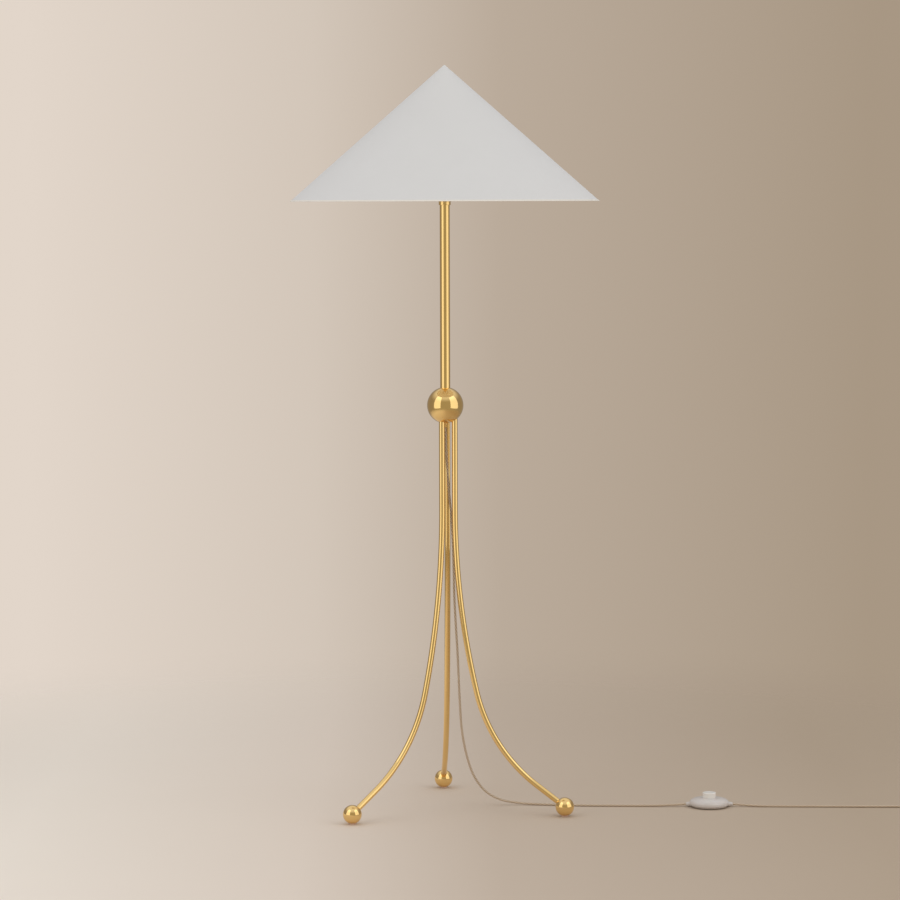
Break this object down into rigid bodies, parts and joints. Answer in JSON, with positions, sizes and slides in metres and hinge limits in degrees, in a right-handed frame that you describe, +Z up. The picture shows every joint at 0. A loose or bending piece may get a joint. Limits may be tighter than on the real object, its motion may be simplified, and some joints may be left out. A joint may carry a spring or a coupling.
{
  "type": "tripod floor lamp",
  "caption": "Floor lamp with a wide white cone shade, a slim brass pole in a ball hub, flared tube legs on ball feet, and a cord with a round foot switch.",
  "frame": {"origin": "on the floor, on the pole's axis", "axes": "+Z up along the pole, +X towards the side where the cord runs, -Y towards the front"},
  "size_m": [1.4408, 0.6618, 1.603],
  "materials": {
    "polished_brass": "polished, lacquered",
    "plain_brass": "plain stamped",
    "zinc_steel": "zinc plated",
    "nickel": "nickel plated",
    "shade_cloth": "fine smooth cloth laminated on card",
    "shade_lining": "satin white sheet",
    "rim_tape": "folded woven tape",
    "opal_glass": "opal",
    "filament": "yellow phosphor coated",
    "ceramic": "glazed ceramic",
    "cord_sheath": "translucent gold-brown",
    "dark_plastic": "moulded",
    "pad_plastic": "soft translucent",
    "switch_plastic": "milky moulded",
    "button_plastic": "milky moulded",
    "dark_rubber": "soft"
  },
  "bodies": {
    "root": {"gallery_hub": "polished_brass", "gallery_arm_left": "polished_brass", "gallery_arm_right": "polished_brass", "gallery_arm_back": "polished_brass", "gallery_ring": "polished_brass", "gallery_pegs": "polished_brass", "holder_cap": "polished_brass", "holder_shell": "polished_brass", "holder_insulator": "ceramic", "screw_shell": "plain_brass", "centre_contact": "plain_brass", "terminal_screws": "zinc_steel", "top_nipple": "zinc_steel", "pole_collar": "polished_brass", "pole_tube": "polished_brass", "pole_top_bush": "zinc_steel", "pole_bottom_bush": "zinc_steel", "hub_nipple": "zinc_steel", "inner_lead": "cord_sheath", "hub_ball": "polished_brass", "hub_bushing": "polished_brass", "leg_left": "polished_brass", "leg_right": "polished_brass", "leg_back": "polished_brass", "leg_top_studs": "zinc_steel", "leg_foot_studs": "zinc_steel", "foot_ball_left": "polished_brass", "foot_ball_right": "polished_brass", "foot_ball_back": "polished_brass", "foot_pad_left": "pad_plastic", "foot_pad_right": "pad_plastic", "foot_pad_back": "pad_plastic", "switch_base": "switch_plastic", "switch_cover": "switch_plastic", "switch_spring": "zinc_steel", "switch_block": "ceramic", "switch_terminals": "plain_brass", "switch_screws": "zinc_steel", "switch_pads": "dark_rubber", "switch_relief_in": "switch_plastic", "switch_relief_out": "switch_plastic", "cord_to_switch": "cord_sheath", "cord_to_coil": "cord_sheath", "cord_coil": "cord_sheath", "coil_tie": "dark_plastic", "plug_body": "switch_plastic", "plug_pins": "nickel", "plug_relief": "switch_plastic"},
    "shade": {"shade_cover": "shade_cloth", "shade_lining": "shade_lining", "rim_wire": "zinc_steel", "rim_trim": "rim_tape", "shade_carrier": "zinc_steel", "tip_block": "zinc_steel"},
    "bulb": {"bulb_glass": "opal_glass", "bulb_cap": "nickel", "bulb_contact": "nickel", "bulb_filament": "filament"},
    "button": {"switch_button": "button_plastic"}
  },
  "joints": [
    {"name": "shade_lift", "type": "slide", "parent": "root", "child": "shade", "axis": [0, 0, 1], "range_m": [0, 0.3]},
    {"name": "bulb_remove", "type": "slide", "parent": "root", "child": "bulb", "axis": [0, 0, 1], "range_m": [0, 0.027]},
    {"name": "foot_button_press", "type": "slide", "parent": "root", "child": "button", "axis": [0, 0, -1], "range_m": [0, 0.004], "stiffness_N_per_m": 900, "springref_m": -0.003, "deforming": ["switch_spring"]}
  ]
}
